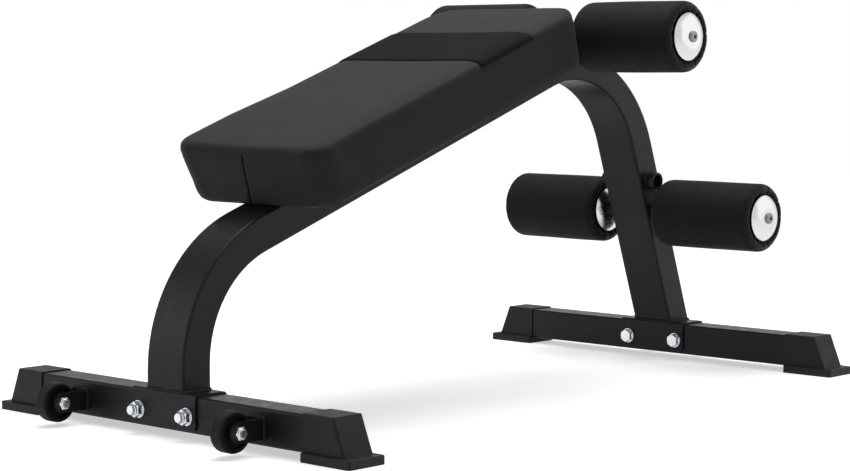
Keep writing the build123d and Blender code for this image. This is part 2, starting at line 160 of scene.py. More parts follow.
def sweep(mesh, points, radii, sides, closed=False):
    """Adds a round tube along points to a bmesh, with one radius for each point."""
    count = len(points)
    side = None
    rings = []
    for i, point in enumerate(points):
        ahead = points[(i + 1) % count] if closed or i + 1 < count else point
        behind = points[i - 1] if closed or i > 0 else point
        along = (ahead - behind).normalized()
        if side is None:
            side = along.orthogonal()
        side = (side - along * side.dot(along)).normalized()
        up = along.cross(side)
        turns = [2 * math.pi * k / sides for k in range(sides)]
        ring = [mesh.verts.new(point + radii[i] * (math.cos(a) * side + math.sin(a) * up)) for a in turns]
        rings.append(ring)
    for i in range(count if closed else count - 1):
        first, second = rings[i], rings[(i + 1) % count]
        for k in range(sides):
            n = (k + 1) % sides
            mesh.faces.new((first[k], first[n], second[n], second[k]))
    if not closed:
        mesh.faces.new(rings[0][::-1])
        mesh.faces.new(rings[-1])


def finished(mesh, name):
    """Turns a bmesh into mesh data with outward normals."""
    bmesh.ops.recalc_face_normals(mesh, faces=mesh.faces)
    data = bpy.data.meshes.new(name)
    mesh.to_mesh(data)
    mesh.free()
    return data


bead_radius = 2.4 * mm
bead_ripple = 2.6 * mm
points_per_ripple = 5
ripple_share, drift_share, drift_rate = 0.12, 0.06, 0.13


def lay_bead(mesh, points, closed=True):
    """Weld bead along points, with its ripples and a slow change in thickness."""
    line = respaced(points, bead_ripple / points_per_ripple, closed=closed)
    radii = []
    for i in range(len(line)):
        ripple = ripple_share * math.sin(2 * math.pi * i / points_per_ripple)
        drift = drift_share * math.sin(i * drift_rate)
        radii.append(bead_radius * (1 + ripple + drift))
    sweep(mesh, line, radii, 8, closed)


def rounded_frame(length, width, corner, steps=8):
    """Points round a rectangle with rounded corners, in X and Y."""
    points = []
    for quarter, (sx, sy) in enumerate(((1, 1), (-1, 1), (-1, -1), (1, -1))):
        for k in range(steps + 1):
            angle = math.pi / 2 * (quarter + k / steps)
            x = sx * (length / 2 - corner) + corner * math.cos(angle)
            y = sy * (width / 2 - corner) + corner * math.sin(angle)
            points.append(Vector((x, y, 0)))
    return points


def middle(name):
    """Middle of a CAD node's box."""
    low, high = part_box(name)
    return (low + high) / 2


rail_slope = math.radians(19.6)
tube_width, tube_depth, tube_corner = 75 * mm, 50 * mm, 3.5 * mm
weld_runs = bmesh.new()

saddle_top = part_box("front_saddle")[1].z
rear_post_depth = tube_depth / math.cos(rail_slope)
for saddle, post_depth in (("front_saddle", tube_depth), ("rear_saddle", rear_post_depth)):
    place = Vector((middle(saddle).x, 0, saddle_top))
    lay_bead(weld_runs, [place + p for p in rounded_frame(post_depth, tube_width, tube_corner)])

sleeve_radius = (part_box("spare_sleeve")[1].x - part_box("spare_sleeve")[0].x) / 2
for sleeve in ("lower_sleeve", "spare_sleeve"):
    for side in (-1, 1):
        place = middle(sleeve) + Vector((0, side * tube_width / 2, 0))
        turns = [2 * math.pi * k / 48 for k in range(48)]
        lay_bead(weld_runs, [place + sleeve_radius * Vector((math.cos(a), 0, math.sin(a))) for a in turns])

fork_corner = 1 * mm
for fork in ("left_wheel_fork", "right_wheel_fork"):
    low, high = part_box(fork)
    root = Vector((high.x, middle(fork).y, middle(fork).z))
    place = Matrix.Translation(root) @ Matrix.Rotation(math.pi / 2, 4, "Y")
    lay_bead(weld_runs, [place @ p for p in rounded_frame(high.z - low.z, high.y - low.y, fork_corner, 3)])

rail_turn = Matrix.Rotation(-rail_slope, 4, "Y")
tab_length, tab_drop = 40 * mm, 30 * mm
for tab in tab_nodes:
    side = 1 if tab.endswith("left") else -1
    wall = side * tube_width / 2
    root = middle(tab)
    edge = [(-tab_length / 2, tab_drop / 2), (-tab_length / 2, -tab_drop / 2)]
    edge += [(tab_length / 2, -tab_drop / 2), (tab_length / 2, tab_drop / 2)]
    place = Matrix.Translation((root.x, wall, root.z)) @ rail_turn
    lay_bead(weld_runs, [place @ Vector((x, 0, z)) for x, z in edge], closed=False)

add_piece("welds", finished(weld_runs, "welds"), powder_coat)


# Feet: black polypropylene caps pushed over the base tube ends. They come from a spark-eroded mould,
# which leaves a fine even grain, and their soles are scuffed a little paler.
foot_plastic, tree, shader = new_finish("foot_plastic", (0.0120, 0.0115, 0.0140), 0.5, specular=0.17)
foot_place = tree.nodes.new("ShaderNodeSeparateXYZ")
tree.links.new(own_place(tree), foot_place.inputs["Vector"])
scuff_height = 14 * mm
scuffs = graded(tree, foot_place.outputs["Z"], 0.55, 0.0, 0.0, scuff_height)
tree.links.new(
    tinted(tree, scuffs, (0.0120, 0.0115, 0.0140), (0.0280, 0.0275, 0.0290)),
    shader.inputs["Base Color"],
)
dull(tree, shader, 20 * mm, 3.0, 0.45, 0.58)
emboss(tree, shader, cloudy(tree, 0.7 * mm, 2.0), 0.06 * mm)
give([f"{end}_{side}_foot" for end in ("front", "rear") for side in ("left", "right")], foot_plastic)


# Wheels: solid moulded tyres on steel bushes. The tread is rubbed grey by the floor, and the
# recessed sides keep the black of the mould.
def worked_out(tree, operation, first, second=0.0):
    """Result of a math node; first is a socket and second a socket or a number."""
    step = tree.nodes.new("ShaderNodeMath")
    step.operation = operation
    tree.links.new(first, step.inputs[0])
    if isinstance(second, bpy.types.NodeSocket):
        tree.links.new(second, step.inputs[1])
    else:
        step.inputs[1].default_value = second
    return step.outputs["Value"]


wheel_rubber, tree, shader = new_finish("wheel_rubber", (0.004, 0.004, 0.004), 0.6, specular=0.07)
wheel_middle = middle("left_wheel")
wheel_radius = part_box("left_wheel")[1].z - wheel_middle.z
axis_offset = tree.nodes.new("ShaderNodeVectorMath")
axis_offset.operation = "SUBTRACT"
tree.links.new(own_place(tree), axis_offset.inputs[0])
axis_offset.inputs[1].default_value = wheel_middle
flattened = tree.nodes.new("ShaderNodeVectorMath")
flattened.operation = "MULTIPLY"
tree.links.new(axis_offset.outputs["Vector"], flattened.inputs[0])
flattened.inputs[1].default_value = (1, 0, 1)
from_axis = tree.nodes.new("ShaderNodeVectorMath")
from_axis.operation = "LENGTH"
tree.links.new(flattened.outputs["Vector"], from_axis.inputs[0])
tread_start, tread_full = wheel_radius - 3 * mm, wheel_radius - 0.5 * mm
tread = graded(tree, from_axis.outputs["Value"], 0.0, 1.0, tread_start, tread_full)
rubbed = worked_out(tree, "MULTIPLY", tread, graded(tree, cloudy(tree, 3 * mm, 6.0), 0.25, 1.0))
tree.links.new(
    tinted(tree, rubbed, (0.004, 0.004, 0.004), (0.034, 0.033, 0.033)),
    shader.inputs["Base Color"],
)
emboss(tree, shader, cloudy(tree, 0.9 * mm, 2.0), 0.05 * mm)
give(["left_wheel", "right_wheel"], wheel_rubber)


# Fasteners: hex bolts, lock nuts and washers, zinc plated bright with a slightly blue cast.
# Each nut holds a nylon ring, and the bolt ends show a turn or two of thread.
zinc, tree, shader = new_finish("bright_zinc", (0.70, 0.73, 0.77), 0.25, metallic=1.0)
mottle(tree, shader, 5 * mm, 3.0, (0.63, 0.67, 0.72), (0.77, 0.78, 0.78))
dull(tree, shader, 2 * mm, 4.0, 0.18, 0.36)
emboss(tree, shader, cloudy(tree, 0.8 * mm, 2.0), 0.02 * mm)
fastener_nodes = [f"{end}_base_{kind}" for end in ("front", "rear") for kind in ("bolts", "washers", "nuts")]
fastener_nodes += ["wheel_bolts", "wheel_nuts", "pad_bolts", "pad_washers", "pad_tnuts"]
give(fastener_nodes, zinc)

nylon, tree, shader = new_finish("nylon_insert", (0.30, 0.34, 0.40), 0.45)
dull(tree, shader, 1 * mm, 2.0, 0.38, 0.55)

steps_per_turn = 28
thread_share = 0.24
ring_reach, ring_share = 1.14, 0.12


def bolt_end(threads, inserts, tip, outward, radius, thread_pitch, past_nut):
    """Thread on the free end of a bolt, and the nylon ring in the nut that it comes out of."""
    side = outward.orthogonal().normalized()
    up = outward.cross(side)

    def around(angle, reach, depth):
        """Point beside the bolt's axis, at a depth behind its tip."""
        return tip - outward * depth + reach * (math.cos(angle) * side + math.sin(angle) * up)

    turns = past_nut / thread_pitch
    steps = round(turns * steps_per_turn)
    helix = [around(2 * math.pi * turns * k / steps, radius, past_nut * k / steps) for k in range(steps + 1)]
    sweep(threads, helix, [thread_share * thread_pitch] * len(helix), 4)
    ring = [around(2 * math.pi * k / 40, radius * ring_reach, past_nut) for k in range(40)]
    sweep(inserts, ring, [radius * ring_share] * len(ring), 8, closed=True)


threads, inserts = bmesh.new(), bmesh.new()
base_bolt_radius, base_bolt_pitch, base_bolt_past = 6 * mm, 1.75 * mm, 3 * mm
base_bolt_offset = 49 * mm
wheel_bolt_radius, wheel_bolt_pitch, wheel_bolt_past = 5 * mm, 1.5 * mm, 1.5 * mm
for bolts, end, way in (("front_base_bolts", 0, -1), ("rear_base_bolts", 1, 1)):
    for side in (-1, 1):
        tip = Vector((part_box(bolts)[end].x, side * base_bolt_offset, middle(bolts).z))
        outward = Vector((way, 0, 0))
        bolt_end(threads, inserts, tip, outward, base_bolt_radius, base_bolt_pitch, base_bolt_past)
for wheel in ("left_wheel", "right_wheel"):
    reach = middle(wheel).y - middle("right_wheel").y
    wheel_tip = Vector((middle(wheel).x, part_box("wheel_bolts")[0].y + reach, middle(wheel).z))
    outward = Vector((0, -1, 0))
    bolt_end(threads, inserts, wheel_tip, outward, wheel_bolt_radius, wheel_bolt_pitch, wheel_bolt_past)
add_piece("bolt_threads", finished(threads, "bolt_threads"), zinc)
add_piece("nut_inserts", finished(inserts, "nut_inserts"), nylon)


# Roller bars and wheel bushes: bright drawn steel, with faint lines along the draw. The hard liners
# on the bars are plain extruded plastic, and hardly show.
drawn_steel, tree, shader = new_finish("drawn_steel", (0.50, 0.50, 0.50), 0.3, metallic=1.0)
along_bar = tree.nodes.new("ShaderNodeMapping")
along_bar.inputs["Scale"].default_value = (1.0, 0.03, 1.0)
tree.links.new(own_place(tree), along_bar.inputs["Vector"])
draw_lines = cloudy(tree, 0.8 * mm, 2.0, along_bar.outputs["Vector"])
tree.links.new(graded(tree, draw_lines, 0.22, 0.42), shader.inputs["Roughness"])
emboss(tree, shader, draw_lines, 0.02 * mm)
give(["upper_axle", "lower_axle", "left_wheel_bush", "right_wheel_bush"], drawn_steel)

roller_nodes = [f"{level}_{side}_roller" for level in ("upper", "lower") for side in ("left", "right")]
liner_plastic, tree, shader = new_finish("liner_plastic", (0.03, 0.03, 0.03), 0.45)
dull(tree, shader, 4 * mm, 3.0, 0.38, 0.52)
give([name.replace("roller", "liner") for name in roller_nodes], liner_plastic)


# Rollers: foam tubes in matt black leatherette. The cover is a sleeve with one seam along its hidden
# side, and its ends are drawn together and tucked under the chrome caps, which leaves uneven gathers.
def pebbled(tree, grain):
    """Rounded cells of about the given size, as in embossed leatherette."""
    texture = tree.nodes.new("ShaderNodeTexVoronoi")
    texture.feature = "SMOOTH_F1"
    texture.inputs["Scale"].default_value = 1.0 / grain
    tree.links.new(own_place(tree), texture.inputs["Vector"])
    return texture.outputs["Distance"]


roller_cover, tree, shader = new_finish("roller_cover", (0.0132, 0.0132, 0.0140), 0.68, specular=0.08)
mottle(tree, shader, 25 * mm, 4.0, (0.0114, 0.0114, 0.0121), (0.0152, 0.0152, 0.0161))
roller_low, roller_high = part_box("upper_left_roller")
roller_half = (roller_high.y - roller_low.y) / 2
roller_place = tree.nodes.new("ShaderNodeSeparateXYZ")
tree.links.new(own_place(tree), roller_place.inputs["Vector"])
to_side = worked_out(tree, "ABSOLUTE", roller_place.outputs["Y"])
from_middle = worked_out(tree, "SUBTRACT", to_side, middle("upper_left_roller").y)
from_middle = worked_out(tree, "ABSOLUTE", from_middle)
polish_start, polish_full = roller_half - 5 * mm, roller_half - 0.5 * mm
polish = graded(tree, from_middle, 1.0, 0.5, polish_start, polish_full)
matt = graded(tree, cloudy(tree, 6 * mm, 4.0), 0.60, 0.76)
tree.links.new(worked_out(tree, "MULTIPLY", matt, polish), shader.inputs["Roughness"])
emboss(tree, shader, pebbled(tree, 1.3 * mm), 0.10 * mm)

gathers = 31
gather_depth = 4.6 * mm
gather_reach = 24 * mm
end_bulge, end_dish, end_round = 0.9 * mm, 2.6 * mm, 12 * mm
tuck_inset, tuck_depth = 9 * mm, 3.4 * mm
rim_inset, rim_depth, past_rim = 1 * mm, 3 * mm, 2 * mm
body_step = 3 * mm
groove_angle, groove_depth, groove_width = math.radians(-50), 0.9 * mm, 2 * mm
slack_height, slack_length = 0.3 * mm, 31 * mm
roller_segments = 420
cap_low, cap_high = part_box("upper_left_outer_cap")
cap_radius = (cap_high.x - cap_low.x) / 2


def gathered(angle, shift):
    """Height of the gathered cover at an angle, from 0 in a crease to 1 on a fold."""
    drift = 1.3 * math.sin(3 * angle + shift) + 0.9 * math.sin(7 * angle + 2.1 * shift)
    fold = abs(math.sin(gathers * angle / 2 + drift))
    crimp = abs(math.sin(gathers * angle + 2.3 * drift + shift))
    size = 0.7 + 0.3 * math.sin(4 * angle + 1.7 * shift) * math.sin(11 * angle + shift)
    return 1 - size * (0.75 * (1 - fold) ** 1.2 + 0.25 * (1 - crimp))


def gather_share(distance, angle, shift):
    """How much of the gathers is left at a distance from the cap's rim; each fold runs out on its own."""
    uneven = 0.5 * math.sin(9 * angle + shift) + 0.5 * math.sin(14 * angle + 2.6 * shift)
    return max(0.0, 1 - distance / (gather_reach * (0.75 + 0.35 * uneven))) ** 1.2


def end_profile(radius, half):
    """Radius and distance from the middle, from under the cap's rim over the end to the body."""
    crest = half + end_bulge
    inside = cap_radius + past_rim
    outside = radius - end_round
    line = [(cap_radius - tuck_inset, half - tuck_depth), (cap_radius - rim_inset, half - rim_depth)]
    for k in range(6):
        share = k / 6
        line.append((inside + (outside - inside) * share, crest - end_dish * math.cos(math.pi / 2 * share)))
    for k in range(9):
        turn = math.pi / 2 * k / 8
        line.append((outside + end_round * math.sin(turn), crest - end_round + end_round * math.cos(turn)))
    return line + [(radius, crest - end_round - k * body_step) for k in range(1, 7)]


def gathered_roller(node, shift):
    """Closed skin of one roller with the groove of its seam; shift makes its gathers its own."""
    low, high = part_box(node)
    axis = (low + high) / 2
    radius = (high.x - low.x) / 2
    half = (high.y - low.y) / 2
    end = end_profile(radius, half)
    rim = [(cap_radius, half)] + end[2:]
    from_rim = [0.0, 0.0] + list(np.cumsum([math.dist(p, q) for p, q in zip(rim, rim[1:])]))
    body_start = end[-1][1]
    body = [(radius, body_start * (1 - k / 6)) for k in range(1, 12)]
    outline = [(r, y, d, 1) for (r, y), d in zip(end, from_rim)]
    outline += [(r, y, half, 0) for r, y in body]
    outline += [(r, -y, d, -1) for (r, y), d in zip(reversed(end), reversed(from_rim))]
    skin = bmesh.new()
    rings = []
    for i, (r, y, distance, side) in enumerate(outline):
        ahead = outline[(i + 1) % len(outline)]
        behind = outline[i - 1]
        inward = Vector((ahead[1] - behind[1], behind[0] - ahead[0]))
        inward.normalize()
        ring = []
        for k in range(roller_segments):
            angle = 2 * math.pi * k / roller_segments
            share = gather_share(distance, angle, shift + side)
            sink = gather_depth * share * (1 - gathered(angle, shift + side))
            on_body = r > radius - 0.5 * mm
            to_groove = (angle - groove_angle + math.pi) % (2 * math.pi) - math.pi
            sink += on_body * groove_depth * math.exp(-(to_groove * radius / groove_width) ** 2)
            slack = math.sin(2 * angle + shift) * math.sin(y / slack_length + shift)
            sink += on_body * slack_height * slack
            reach = r + inward.x * sink
            place = Vector((reach * math.cos(angle), y + inward.y * sink, reach * math.sin(angle)))
            ring.append(skin.verts.new(axis + place))
        rings.append(ring)
    for first, second in zip(rings, rings[1:] + rings[:1]):
        for k in range(roller_segments):
            n = (k + 1) % roller_segments
            skin.faces.new((first[k], first[n], second[n], second[k]))
    return finished(skin, f"{node}_cover")


for number, node in enumerate(roller_nodes):
    cover = add_piece(f"{node}_cover", gathered_roller(node, 1.3 * number), roller_cover, body=node)
    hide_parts(node)


# Caps: pressed steel domes, chromed and polished. The outer ones are held by plain steel button
# screws with a hex socket, the inner ones sit between the sleeves and the rollers.
chrome, tree, shader = new_finish("polished_chrome", (0.60, 0.61, 0.62), 0.23, metallic=1.0)
mottle(tree, shader, 20 * mm, 3.0, (0.57, 0.58, 0.60), (0.64, 0.64, 0.64))
dull(tree, shader, 30 * mm, 2.0, 0.21, 0.25)
cap_nodes = [name.replace("roller", f"{place}_cap") for name in roller_nodes for place in ("inner", "outer")]
give(cap_nodes, chrome)

screw_steel, tree, shader = new_finish("screw_steel", (0.21, 0.215, 0.22), 0.36, metallic=1.0)
dull(tree, shader, 2 * mm, 3.0, 0.32, 0.42)
give(["cap_screws"], screw_steel)


# Pad board: a plywood sheet under the cushion. The cover is pulled round its edge and stapled to its
# underside, so a margin of leatherette shows there round the bare wood.
pad_length, pad_width, pad_corner = 606 * mm, 298 * mm, 46 * mm
board_thickness = 15 * mm
pad_up = rail_turn @ Vector((0, 0, 1))
pad_frame = Matrix.Translation(middle("pad_board") - pad_up * board_thickness / 2) @ rail_turn
to_pad = pad_frame.inverted()

plywood, tree, shader = new_finish("plywood", (0.42, 0.29, 0.17), 0.6)
grain_place = tree.nodes.new("ShaderNodeMapping")
grain_place.inputs["Scale"].default_value = (0.06, 1.0, 1.0)
tree.links.new(own_place(tree), grain_place.inputs["Vector"])
wood_grain = cloudy(tree, 7 * mm, 6.0, grain_place.outputs["Vector"])
tree.links.new(
    tinted(tree, graded(tree, wood_grain, 0.0, 1.0), (0.30, 0.19, 0.10), (0.50, 0.36, 0.22)),
    shader.inputs["Base Color"],
)
emboss(tree, shader, wood_grain, 0.1 * mm)
give(["pad_board"], plywood)


# Cushion: upholstery foam in dark leatherette, sewn as a top panel and a side strip that closes in
# a seam at the low end. The foam swells the cover between its seams.
leatherette, tree, shader = new_finish("leatherette", (0.0385, 0.0364, 0.0368), 0.56, specular=0.03)
mottle(tree, shader, 45 * mm, 4.0, (0.0355, 0.0336, 0.0340), (0.0419, 0.0396, 0.0400))
dull(tree, shader, 9 * mm, 4.0, 0.52, 0.61)
emboss(tree, shader, pebbled(tree, 1.7 * mm), 0.12 * mm)
emboss(tree, shader, cloudy(tree, 40 * mm, 1.0), 0.3 * mm, 0.15)

# Sizes of the form: how far the foam may swell the cover, and how far edges and corners are moved.
voxel = 5 * mm
swell_start, swell_limit, swell_steps = 2 * mm, 4 * mm, 9
foam_pressure, smoothing_rounds = 4.0, 40
held_height, free_height = 16 * mm, 30 * mm
seam_height = 74 * mm
low_corner_fill, high_corner_fill, lower_share = 5 * mm, -3 * mm, 0.7
fill_start, fill_middle, fill_full = 6 * mm, 50 * mm, 75 * mm
side_draw, bottom_fill, bottom_reach = 1.5 * mm, 2.5 * mm, 30 * mm
edge_lift, top_lift, lift_start, lift_full = 6.5 * mm, 1 * mm, 20 * mm, 80 * mm
roll_drop, roll_width = 4.5 * mm, 30 * mm
low_left_lift, low_left_reach = 4.5 * mm, 120 * mm
board_growth, board_lift = Vector((1.01, 1.02, 0.95)), 2 * mm


def carried_out(piece, name):
    """Mesh of a piece with its modifiers carried out."""
    graph = bpy.context.evaluated_depsgraph_get()
    mesh = bpy.data.meshes.new_from_object(piece.evaluated_get(graph))
    mesh.name = name
    return mesh


def read_points(mesh, layer="co"):
    """Places or normals of a mesh's vertices as rows of numbers."""
    values = np.empty(3 * len(mesh.vertices))
    mesh.vertices.foreach_get(layer, values)
    return values.reshape(-1, 3)


def evened(mesh, moves, rounds):
    """Moves of the vertices, averaged with those of their neighbours a number of times."""
    ends = np.empty(2 * len(mesh.edges), dtype=np.int64)
    mesh.edges.foreach_get("vertices", ends)
    first, second = ends.reshape(-1, 2).T
    count = len(moves)
    neighbours = np.bincount(first, minlength=count) + np.bincount(second, minlength=count)
    for _ in range(rounds):
        total = np.bincount(first, moves[second], count) + np.bincount(second, moves[first], count)
        moves = 0.5 * moves + 0.5 * total / neighbours
    return moves


def ramp(values, start, end):
    """Goes from 0 at the start to 1 at the end, and stays level outside."""
    return np.clip((values - start) / (end - start), 0.0, 1.0)


def swelling(mesh, height):
    """How far the foam presses each vertex out, by a cloth simulation that the board's edge holds."""
    piece = bpy.data.objects.new("cushion_work", mesh.copy())
    bpy.context.scene.collection.objects.link(piece)
    free = ramp(height, held_height, free_height)
    held = piece.vertex_groups.new(name="held")
    for i, share in enumerate(free):
        held.add([i], 1.0 - share, "REPLACE")
    start = read_points(mesh) - read_points(mesh, "normal") * (swell_start * free)[:, None]
    piece.data.vertices.foreach_set("co", start.ravel())
    piece.data.update()
    cloth = piece.modifiers.new("foam", "CLOTH")
    cloth.settings.vertex_group_mass = "held"
    cloth.settings.use_pressure = True
    cloth.settings.uniform_pressure_force = foam_pressure
    cloth.settings.effector_weights.gravity = 0.0
    cloth.settings.quality = 4
    scene = bpy.context.scene
    for step in range(1, swell_steps + 1):
        scene.frame_set(step)
    outward = read_points(mesh, "normal")
    pressed = ((read_points(carried_out(piece, "cushion_swollen")) - start) * outward).sum(axis=1)
    scene.frame_set(1)
    bpy.data.objects.remove(piece)
    pressed = np.clip(pressed, swell_start, swell_limit) * free
    return outward * (evened(mesh, pressed, smoothing_rounds) - swell_start * free)[:, None]


def in_pad(points):
    """Points carried over to the pad's own axes."""
    turn = np.array(to_pad.to_3x3())
    return points @ turn.T + np.array(to_pad.translation)


def filled_out(points):
    """Moves that stuff the low end's upright corners, lift the top's edges and draw the sides in."""
    height = points[:, 2]
    half = np.array([pad_length, pad_width]) / 2 - pad_corner
    past = np.maximum(np.abs(points[:, :2]) - half, 0.0)
    reach = np.linalg.norm(past, axis=1)
    toward = past / np.maximum(reach, 1e-9)[:, None]
    on_side = np.minimum(reach / pad_corner, 1.0) ** 4
    cornered = 2 * toward[:, 0] * toward[:, 1]
    corner_fill = np.where(points[:, 0] < 0, low_corner_fill, high_corner_fill)
    share = lower_share + (1 - lower_share) * ramp(height, fill_middle, fill_full)
    push = corner_fill * cornered * ramp(height, 0.0, fill_start) * share
    push -= side_draw * np.sin(np.pi * ramp(height, 0.0, seam_height))
    push += bottom_fill * (1 - ramp(height, 0.0, bottom_reach))
    moves = np.zeros_like(points)
    moves[:, :2] = np.sign(points[:, :2]) * toward * (push * on_side)[:, None]
    rolled = ramp(np.abs(points[:, 1]), pad_width / 2 - roll_width, pad_width / 2)
    lift = top_lift + edge_lift * (2 * points[:, 1] / pad_width) ** 2 - roll_drop * rolled ** 2
    from_low_end = points[:, 0] + pad_length / 2
    to_left = ramp(points[:, 1], -pad_width / 2, pad_width / 2)
    lift += low_left_lift * (1 - ramp(from_low_end, low_left_reach, 2 * low_left_reach)) * to_left ** 2
    moves[:, 2] = ramp(height, lift_start, lift_full) * lift
    return moves @ np.array(pad_frame.to_3x3()).T


filled = bmesh.new()
filled.from_mesh(nodes["pad_board"].data)
for vertex in filled.verts:
    place = to_pad @ vertex.co
    vertex.co = pad_frame @ (place * board_growth + Vector((0, 0, board_lift)))
filled.from_mesh(nodes["pad_cushion"].data)
filled.transform(to_pad)
plain = bpy.data.objects.new("cushion_plain", finished(filled, "cushion_plain"))
bpy.context.scene.collection.objects.link(plain)
remesh = plain.modifiers.new("even_mesh", "REMESH")
remesh.mode = "VOXEL"
remesh.voxel_size = voxel
cushion_mesh = carried_out(plain, "cushion")
cushion_mesh.transform(pad_frame)
bpy.data.objects.remove(plain)
place = read_points(cushion_mesh)
formed = place + filled_out(in_pad(place))
formed += swelling(cushion_mesh, in_pad(place)[:, 2])
cushion_mesh.vertices.foreach_set("co", formed.ravel())
cushion_mesh.update()
cushion_mesh.materials.clear()
cushion = add_piece("cushion", cushion_mesh, leatherette)
finer = cushion.modifiers.new("finer", "SUBSURF")
finer.levels = finer.render_levels = 1
cushion.data = carried_out(cushion, "cushion")
cushion.modifiers.clear()

seam_depth, seam_width = 1.2 * mm, 2.6 * mm
top_seam_share, band_seam_share = 0.25, 0.7
end_seam_foot, end_seam_lean, end_seam_bow = 13.2 * mm, 13 * mm, 0.8 * mm
end_zone = 25 * mm
lap_height, lap_offset = 0.5 * mm, 4 * mm
band_length = 124 * mm
band_near = 51 * mm
band_far = band_near + band_length


def end_seam_side(height):
    """Distance of the end seam from the pad's middle line at a height: it leans and bows a little."""
    share = height / seam_height
    return end_seam_foot - end_seam_lean * share - end_seam_bow * np.sin(np.pi * share)


def valley(distance):
    """Depth of a sewn valley at a distance from its seam, as a share."""
    return np.exp(-(distance / seam_width) ** 2)


place = read_points(cushion.data)
outward = read_points(cushion.data, "normal")
along, across, height = in_pad(place).T
facing = outward @ np.array(to_pad.to_3x3()).T
side_wall = (facing[:, 2] < 0.85) & (height > held_height)
low_end = (facing[:, 0] < -0.6) & (along < -pad_length / 2 + end_zone) & (height < seam_height)
on_top = height > seam_height - 2 * mm
from_seam = across - end_seam_side(height)
sink = side_wall * top_seam_share * valley(height - seam_height)
sink = np.maximum(sink, low_end * valley(from_seam))
for edge in (band_near, band_far):
    sink = np.maximum(sink, on_top * band_seam_share * valley(along - edge))
rise = low_end * lap_height * valley(from_seam - lap_offset)
place += outward * (rise - seam_depth * sink)[:, None]
cushion.data.vertices.foreach_set("co", place.ravel())
cushion.data.update()
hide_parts("pad_cushion")


# Seams and stitches: the panels are sewn with black thread. The seam at the low end is a fold
# coloured near black, a painted shadow of the gap in the seam, and the one round the top is a thin
# fold of cover with a row of stitches above it.
thread, tree, shader = new_finish("sewing_thread", (0.012, 0.012, 0.012), 0.5, specular=0.2)
twist = tree.nodes.new("ShaderNodeTexWave")
twist.inputs["Scale"].default_value = 900.0
tree.links.new(own_place(tree), twist.inputs["Vector"])
emboss(tree, shader, twist.outputs["Fac"], 0.08 * mm)

# Near black finish of the low end's seam fold: a painted shadow of the gap in the seam.
seam_painted_shadow, tree, shader = new_finish("seam_painted_shadow", (0.0015, 0.0015, 0.0015), 0.8, specular=0.02)
dull(tree, shader, 2 * mm, 2.0, 0.7, 0.9)

cushion_skin = BVHTree.FromObject(cushion, bpy.context.evaluated_depsgraph_get())


def on_cushion(start, direction):
    """Point and outward normal where a ray meets the cushion; the ray is in the pad's own axes."""
    place, normal, _, _ = cushion_skin.ray_cast(pad_frame @ start, pad_frame.to_3x3() @ direction)
    return place, normal


ray_offset, ray_step = 20 * mm, 5 * mm


def round_the_pad(height):
    """Line round the cushion's side at a height above its underside."""
    wide = rounded_frame(pad_length + 2 * ray_offset, pad_width + 2 * ray_offset, pad_corner + ray_offset)
    outside = respaced(wide, ray_step, closed=True)
    line = []
    for k, point in enumerate(outside):
        ahead = outside[(k + 1) % len(outside)] - outside[k - 1]
        inward = Vector((-ahead.y, ahead.x, 0)).normalized()
        line.append(on_cushion(point + Vector((0, 0, height)), inward))
    return line


fold_sink, fold_step = 0.2 * mm, 2.5 * mm
side_fold_radius, end_fold_radius = 0.35 * mm, 1.2 * mm


def lay_fold(mesh, line, radius, closed):
    """Thin fold of cover pinched in a seam."""
    sunk = [place - normal * fold_sink for place, normal in line]
    points = respaced(sunk, fold_step, closed=closed)
    sweep(mesh, points, [radius] * len(points), 6, closed)


stitch_length, stitch_gap, thread_radius = 4.2 * mm, 1.6 * mm, 0.35 * mm
stitch_lifts, stitch_shares = (-0.9, 0.6, 0.6, -0.9), (0.6, 1, 1, 0.6)


def sew(mesh, line, closed):
    """Row of short stitches that dip into the cover at both ends."""
    points = respaced([place for place, normal in line], (stitch_length + stitch_gap) / 4, closed=closed)
    for k in range(0, len(points) - 3, 4):
        stitch = []
        for point, lift in zip(points[k:k + 4], stitch_lifts):
            normal = cushion_skin.find_nearest(point)[1]
            stitch.append(point + normal * thread_radius * lift)
        sweep(mesh, stitch, [thread_radius * share for share in stitch_shares], 5)


seam_folds, stitches = bmesh.new(), bmesh.new()
stitch_row = seam_height + 4.5 * mm
lay_fold(seam_folds, round_the_pad(seam_height), side_fold_radius, closed=True)
sew(stitches, round_the_pad(stitch_row), closed=True)
end_seam = []
for height in np.linspace(4 * mm, seam_height + 5 * mm, 24):
    start = Vector((-pad_length / 2 - 50 * mm, end_seam_side(height), height))
    end_seam.append(on_cushion(start, Vector((1, 0, 0))))
# The low end's seam fold, coloured near black as a painted shadow of the seam's gap.
end_fold_painted_shadow = bmesh.new()
lay_fold(end_fold_painted_shadow, end_seam, end_fold_radius, closed=False)
add_piece("seam_folds", finished(seam_folds, "seam_folds"), leatherette)
add_piece("end_fold_painted_shadow", finished(end_fold_painted_shadow, "end_fold_painted_shadow"), seam_painted_shadow)
add_piece("stitches", finished(stitches, "stitches"), thread)


# Band: a plain strip of darker woven cloth, sewn across the top panel near the high end. It stands
# proud of the cover by its own thickness, and its long edges are turned down to the cover.
woven, tree, shader = new_finish("woven_band", (0.0048, 0.0048, 0.0051), 0.72, specular=0.06)
weave_place = tree.nodes.new("ShaderNodeMapping")
weave_place.inputs["Rotation"].default_value = (0, rail_slope, 0)
tree.links.new(own_place(tree), weave_place.inputs["Vector"])
ribs_over = []
for direction in ("X", "Y"):
    ribs = tree.nodes.new("ShaderNodeTexWave")
    ribs.bands_direction = direction
    ribs.inputs["Scale"].default_value = 300.0
    tree.links.new(weave_place.outputs["Vector"], ribs.inputs["Vector"])
    ribs_over.append(ribs.outputs["Fac"])
weave = worked_out(tree, "MULTIPLY", *ribs_over)
tree.links.new(
    tinted(tree, weave, (0.0034, 0.0034, 0.0037), (0.0068, 0.0068, 0.0072)),
    shader.inputs["Base Color"],
)
